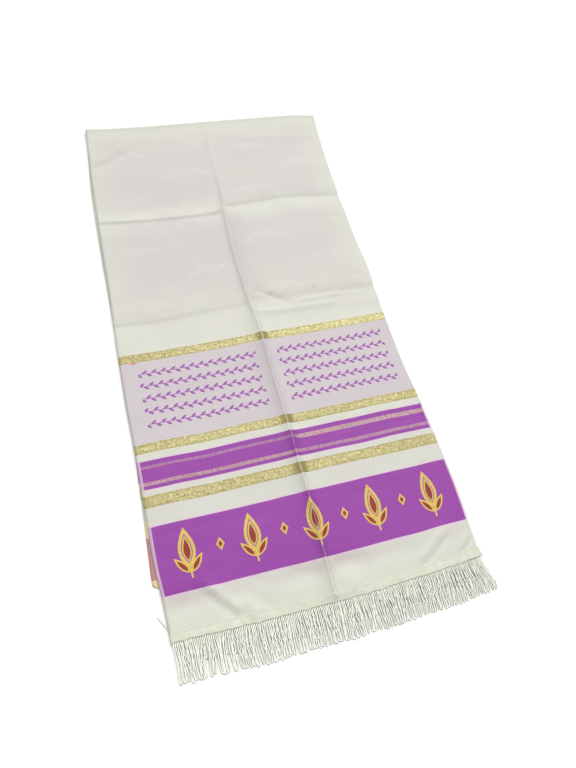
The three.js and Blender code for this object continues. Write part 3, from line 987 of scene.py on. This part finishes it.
def make_cloth():
    """The whole cloth as one folded sheet, its face outside."""
    size = sizes()
    width = size.cloth_width / MM
    length = size.cloth_length / MM
    turn = math.pi * FOLD_RADIUS
    turn_steps = 10
    across_at = stations(-1, 1, 0.0195, 0.0055, CROWDED_ACROSS, 0.08)
    woven_at = stations(0, UPPER_WOVEN, 5, 1.4, CROWDED_WOVEN, 16)
    upper_rows = len(woven_at) - 1
    under_from = UPPER_WOVEN + turn
    woven_at += [UPPER_WOVEN + turn * i / turn_steps for i in range(1, turn_steps + 1)]
    under_v = stations(UNDER_SETBACK, UPPER_WOVEN, 11, 1.0, UNDER_CROWDED, 8)
    shares = [(UPPER_WOVEN - v) / (UPPER_WOVEN - UNDER_SETBACK) for v in reversed(under_v)]
    woven_at += [under_from + (length - under_from) * share for share in shares[1:]]

    def place(column, row):
        across = across_at[column]
        woven = woven_at[row]
        if row < upper_rows:
            x, v = place_on_upper(across, woven)
            return to_frame(x, v, upper_face_z(x, v))
        if woven > under_from:
            x, v = place_on_under(across, (woven - under_from) / (length - under_from))
            return to_frame(x, v, 0.0)
        x, v = place_on_upper(across, UPPER_WOVEN)
        angle = (woven - UPPER_WOVEN) / turn * math.pi
        radius = FOLD_RADIUS + WALL / 2
        return to_frame(x, v + radius * math.sin(angle), radius + radius * math.cos(angle))

    def cloth_place(column, row):
        return (across_at[column] + 1) / 2 * width, woven_at[row]

    bm = bmesh.new()
    grid_into(bm, len(across_at) - 1, len(woven_at) - 1, place, cloth_place)
    piece = finish_piece("shawl_cloth", bm, [satin_face(), satin_back()])
    wall = piece.modifiers.new("woven_thickness", "SOLIDIFY")
    wall.thickness = size.sheet_thickness
    wall.offset = -1
    wall.use_even_offset = False
    wall.material_offset = 1
    wall.material_offset_rim = 1
    return piece


def ring_frame(path, i):
    """Centre, sideways and upward directions of the path's section at a point."""
    before = path[max(i - 1, 0)]
    after = path[min(i + 1, len(path) - 1)]
    along = (after - before).normalized()
    side = along.cross(Vector((0, 0, 1))).normalized()
    return path[i], side, side.cross(along)


def yarn_into(bm, path, radius, number, sides=4):
    """Add a round yarn along a path of points in millimetres, its number kept in the UV map."""
    lengths = [0.0]
    for a, b in zip(path, path[1:]):
        lengths.append(lengths[-1] + (b - a).length)
    rings = [ring_frame(path, i) for i in range(len(path))]

    def place(column, row):
        centre, side, up = rings[row]
        angle = 2 * math.pi * (column % sides) / sides
        spot = centre + (side * math.cos(angle) + up * math.sin(angle)) * radius
        return to_frame(spot.x, spot.y, spot.z)

    def cloth_place(column, row):
        return YARN_STEP * number + YARN_MARGIN + YARN_GIRTH * column / sides, lengths[row]

    made = grid_into(bm, sides, len(path) - 1, place, cloth_place)
    bmesh.ops.remove_doubles(bm, verts=made, dist=1e-7)


def close_yarns(bm):
    """Cap the open ends of all yarns and turn their faces outwards."""
    bmesh.ops.holes_fill(bm, edges=[edge for edge in bm.edges if edge.is_boundary])
    bmesh.ops.recalc_face_normals(bm, faces=bm.faces)


LEG_STEPS = 7                # spans of yarn down a loop's leg, and points round its end
TURN_POINTS = 4
HEADING_THICKNESS = 0.5


def loop_path(root, half_gap, end_gap, length, tip, crossings, heights, wave):
    """Path of one loop of yarn: down one leg, round its end and back up the other.

    tip is how far its end lies to the side of its root. heights are the yarn's middle at the heading,
    past it and at the end.
    """

    def leg(share, side):
        spread = half_gap + (end_gap - half_gap) * smooth_step(share * 1.3)
        turn = math.pi * crossings * smooth_step(share)
        drift = tip * smooth_step(share * 1.1) + wave.reach * math.sin(wave.start + share * wave.turns)
        drift += 0.4 * side * math.sin(wave.start * 2 + share * 9) * share
        low = smooth_step((share - 0.08) / 0.2)
        near_end = smooth_step((share - 0.72) / 0.28)
        z = heights[0] + (heights[1] - heights[0]) * low + (heights[2] - heights[1]) * near_end
        lift = 0.8 * abs(math.sin(turn)) * (1 if side > 0 else 0)
        x = root.x + drift * min(share * 4, 1) + side * spread * math.cos(turn)
        return Vector((x, root.y - length * share, z + lift))

    shares = [i / LEG_STEPS for i in range(LEG_STEPS + 1)]
    down = [leg(share, -1) for share in shares]
    up = [leg(share, 1) for share in reversed(shares)]
    middle = (down[-1] + up[0]) / 2
    reach = (up[0] - down[-1]) / 2
    bulge = Vector((0, -max(abs(reach.x), 0.8) * 1.25, 0))
    bend = []
    for i in range(1, TURN_POINTS + 1):
        angle = math.pi * i / (TURN_POINTS + 1)
        bend.append(middle - reach * math.cos(angle) + bulge * math.sin(angle))
    return down + bend + up


Wave = namedtuple("Wave", "reach start turns")


def clumps(count, chance, from_x, pitch):
    """Share out loops into clumps whose ends lie together, as each loop's shift at its end."""
    shifts = []
    while len(shifts) < count:
        members = min(chance.choice((1, 1, 2, 2, 3, 4)), count - len(shifts))
        first = from_x + pitch * (len(shifts) + 0.5)
        middle = first + pitch * (members - 1) / 2
        dense = smooth_step((from_x + 30 - middle) / 20)
        parted = smooth_step((from_x + 110 - middle) / 40)
        draw = chance.uniform(0.0, 0.3) * (1 - dense) * (1 + 1.3 * parted)
        lean = chance.uniform(-1.2, 1.2) * (1 - dense)
        shifts += [(middle - (first + pitch * i)) * draw + lean for i in range(members)]
    return shifts


def fringe_end(name, from_x, to_x, top_v, edge_z, loops, heights, node, seed, tone=1.0, strays=()):
    """One end's fringe: its heading, a thin woven band over the hem's edge, and its loops."""
    size = sizes()
    depth = size.heading_depth / MM
    length = size.fringe_length / MM
    radius = size.yarn_thickness / MM / 2
    columns = 232
    rows = 8
    overlap = 1.3

    def heading_place(column, row):
        down = row / rows
        x = from_x + (to_x - from_x) * column / columns
        lean = 3 * (down - 0.4) * smooth_step((x - to_x + 35) / 35)
        ragged = 1.1 * waver(x / 9, 6.5, seed)
        ragged += 0.6 * waver(x / 4, 1.5, seed)
        turned_in = smooth_step((x - to_x + 24) / 2.5)
        v = top_v(x) + overlap - (depth + overlap + ragged) * down + 1.8 * turned_in * (1 - down)
        bead = 0.35 * math.sin(down * math.pi) - 0.3 * math.exp(-((down - 0.14) / 0.05) ** 2)
        bead += 0.3 * waver(x / 7, down * 1.5, seed) + 0.4 * turned_in
        settle = edge_z(x) + (heights[0] + radius - edge_z(x)) * smooth_step(down)
        return to_frame(x + lean, v + 0.4 * waver(x / 11, row / 9, seed), settle + bead)

    def heading_cloth_place(column, row):
        return (to_x - from_x) * column / columns, depth * row / rows

    bm = bmesh.new()
    grid_into(bm, columns, rows, heading_place, heading_cloth_place)
    bmesh.ops.reverse_faces(bm, faces=bm.faces)
    heading = finish_piece(f"{name}_heading", bm, [heading_yarn()])
    wall = heading.modifiers.new("heading_thickness", "SOLIDIFY")
    wall.thickness = HEADING_THICKNESS * MM
    wall.offset = -1

    chance = random.Random(seed)
    bm = bmesh.new()
    inset = radius * 2
    pitch = (to_x - from_x - 2 * inset) / loops
    shifts = clumps(loops, chance, from_x + inset, pitch)
    for i in range(loops):
        x = from_x + inset + pitch * (i + 0.5)
        root = Vector((x, top_v(x) - depth + 1.5, 0))
        right_end = smooth_step((x - 175) / 60)
        tip = shifts[i] + 2.4 * waver(x / 38, 2.5, seed) + 9 * right_end
        tip += chance.uniform(-1.0, 1.0)
        reach = length - 1.5 - 3 * right_end + 2.2 * waver(x / 24, 8.5, seed)
        reach += chance.uniform(-1.1, 1.1)
        end_gap = chance.uniform(1.2, 2.1)
        crossings = chance.choice((0, 0, 1, 1, 2, 3))
        start = 5 * waver(x / 16, 4.5, seed) + chance.uniform(-0.5, 0.5)
        wave = Wave(chance.uniform(0.2, 1.2), start, chance.uniform(3, 8))
        levels = (heights[0], heights[1] + 0.5 * (i % 2), heights[2])
        path = loop_path(root, pitch / 4, end_gap, reach, tip, crossings, levels, wave)
        yarn_into(bm, path, radius, i)
    for path in strays:
        yarn_into(bm, path, radius, loops)
    close_yarns(bm)
    yarn = finish_piece(f"{name}_loops", bm, [fringe_yarn(tone)])
    for piece in (heading, yarn):
        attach(piece, "root")
        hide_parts(node)


UPPER_FRINGE = (-229, 235)
UNDER_FRINGE = (-226, 227)


def hem_edge_z(x):
    return upper_face_z(min(max(x, -228), 232), hem_v(x)) + 0.55


def make_upper_fringe():
    loops = sizes().upper_loops
    fringe_end(
        "upper_fringe", *UPPER_FRINGE, hem_v, hem_edge_z, loops, (3.0, 2.4, 0.85), "fringe_upper_end", 11
    )


def stray_path():
    """One loose yarn of the under fringe, whose end lies out past the left selvedge."""
    places = ((-225, -9), (-228, -4.5), (-230.5, 0), (-233, 5), (-235.5, 10), (-238, 14.5), (-240, 18.5))
    return [Vector((x, v, 0.85)) for x, v in places]


def make_under_fringe():
    loops = sizes().under_loops
    fringe_end(
        "under_fringe",
        *UNDER_FRINGE,
        lambda x: hem_v(x) + UNDER_SETBACK,
        lambda x: 1.3,
        loops,
        (0.85, 0.85, 0.85),
        "fringe_under_end",
        29,
        # The under fringe's yarn is painted darker, as painted shade beneath the upper fringe
        0.9,
        [stray_path()],
    )


STITCH_PITCH = 3.1
STITCH_LENGTH = 2.2
STITCH_THICKNESS = 0.35


def make_stitches():
    """The running stitch that holds the upper heading to the hem."""
    from_x, to_x = UPPER_FRINGE
    bm = bmesh.new()
    half_size = (STITCH_LENGTH / 2, STITCH_THICKNESS, STITCH_THICKNESS * 0.7)
    shape = Matrix.Diagonal((*(side * MM for side in half_size), 1))
    for i in range(int((to_x - from_x - 6) / STITCH_PITCH)):
        x = from_x + 3 + STITCH_PITCH * i
        v = hem_v(x) - 0.9
        slope = (hem_v(x + 1) - hem_v(x - 1)) / 2
        spot = to_frame(x, v, hem_edge_z(x) + 0.28)
        turn = Matrix.Rotation(math.atan(slope) + 0.12, 4, "Z")
        matrix = Matrix.Translation(spot) @ turn @ shape
        bmesh.ops.create_uvsphere(bm, u_segments=6, v_segments=5, radius=1.0, matrix=matrix)
    piece = finish_piece("heading_stitches", bm, [thread_look()])
    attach(piece, "root")


# The camera stood over the near left corner and looked along the shawl, tilted towards the far right
CAMERA_AT = (-0.223, -0.4814, 0.864)
CAMERA_FORWARD = (0.24826, 0.38842, -0.88741)
CAMERA_RIGHT = (0.95539, -0.24946, 0.15810)
LENS_MM = 28.08
LIGHT_FROM = (0.3, 0.8, 1.05)


def make_stage():
    bm = bmesh.new()
    bmesh.ops.create_grid(bm, x_segments=1, y_segments=1, size=6)
    bmesh.ops.translate(bm, verts=bm.verts, vec=(0, 0, -0.0002))
    floor = finish_piece("floor", bm, [floor_look()], smooth=False)

    scene = bpy.context.scene
    world = bpy.data.worlds.new("soft_room")
    world.use_nodes = True
    background = world.node_tree.nodes["Background"]
    background.inputs["Color"].default_value = (1.0, 1.0, 1.0, 1.0)
    background.inputs["Strength"].default_value = 0.5
    scene.world = world

    # One large soft light, high up beyond the far right corner
    light = bpy.data.lights.new("window", "SUN")
    light.energy = 2.5
    light.angle = math.radians(46)
    lamp = bpy.data.objects.new("window", light)
    lamp.rotation_euler = Vector(LIGHT_FROM).to_track_quat("Z", "Y").to_euler()
    scene.collection.objects.link(lamp)

    camera_data = bpy.data.cameras.new("photo_view")
    camera_data.lens = LENS_MM
    camera_data.sensor_width = 36
    camera_data.clip_start = 0.01
    camera = bpy.data.objects.new("photo_view", camera_data)
    forward = Vector(CAMERA_FORWARD).normalized()
    right = Vector(CAMERA_RIGHT)
    right = (right - forward * right.dot(forward)).normalized()
    turn = Matrix((right, right.cross(forward), -forward)).transposed()
    camera.matrix_world = Matrix.Translation(CAMERA_AT) @ turn.to_4x4()
    scene.collection.objects.link(camera)
    scene.camera = camera
    scene.view_settings.view_transform = "Standard"


class SHAWL_OT_cloth(bpy.types.Operator):
    """Weave the cloth and lay it folded in half"""

    bl_idname = "shawl.cloth"
    bl_label = "Folded cloth"

    def execute(self, context):
        cloth = make_cloth()
        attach(cloth, "root")
        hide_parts("cloth_upper_half", "cloth_under_half")
        return {"FINISHED"}


class SHAWL_OT_fringes(bpy.types.Operator):
    """Sew a looped fringe on each end of the cloth"""

    bl_idname = "shawl.fringes"
    bl_label = "Fringes"

    def execute(self, context):
        make_upper_fringe()
        make_under_fringe()
        return {"FINISHED"}


class SHAWL_OT_stitches(bpy.types.Operator):
    """Stitch the upper fringe's heading to the hem"""

    bl_idname = "shawl.stitches"
    bl_label = "Stitches"

    def execute(self, context):
        make_stitches()
        return {"FINISHED"}


class SHAWL_OT_declare(bpy.types.Operator):
    """Gather the pieces sewn to the cloth; the list is not used"""

    bl_idname = "shawl.declare"
    bl_label = "State the cut"

    def execute(self, context):
        sewn_on = [
            piece
            for piece in bpy.data.objects
            if piece.name.endswith(("_heading", "_loops", "_stitches"))
        ]
        return {"FINISHED"}


class SHAWL_OT_stage(bpy.types.Operator):
    """Set the pale floor, the soft light and the camera"""

    bl_idname = "shawl.stage"
    bl_label = "Stage"

    def execute(self, context):
        make_stage()
        return {"FINISHED"}


STEPS = (SHAWL_OT_cloth, SHAWL_OT_fringes, SHAWL_OT_stitches, SHAWL_OT_declare, SHAWL_OT_stage)


class SHAWL_PT_panel(bpy.types.Panel):
    """Sizes, colours and steps of the shawl"""

    bl_idname = "SHAWL_PT_panel"
    bl_label = "Folded prayer shawl"
    bl_space_type = "VIEW_3D"
    bl_region_type = "UI"
    bl_category = "Shawl"

    def draw(self, context):
        layout = self.layout
        for group in (context.scene.shawl_sizes, context.scene.shawl_colours):
            box = layout.box()
            for name in group.__annotations__:
                box.prop(group, name)
        for step in STEPS:
            layout.operator(step.bl_idname)


CLASSES = (ShawlSizes, ShawlColours, *STEPS, SHAWL_PT_panel)


def register():
    for kind in CLASSES:
        bpy.utils.register_class(kind)
    bpy.types.Scene.shawl_sizes = bpy.props.PointerProperty(type=ShawlSizes)
    bpy.types.Scene.shawl_colours = bpy.props.PointerProperty(type=ShawlColours)


def unregister():
    del bpy.types.Scene.shawl_colours
    del bpy.types.Scene.shawl_sizes
    for kind in reversed(CLASSES):
        bpy.utils.unregister_class(kind)


def main():
    register()
    bpy.ops.shawl.cloth()
    bpy.ops.shawl.fringes()
    bpy.ops.shawl.stitches()
    bpy.ops.shawl.declare()
    bpy.ops.shawl.stage()


if __name__ == "__main__":
    main()
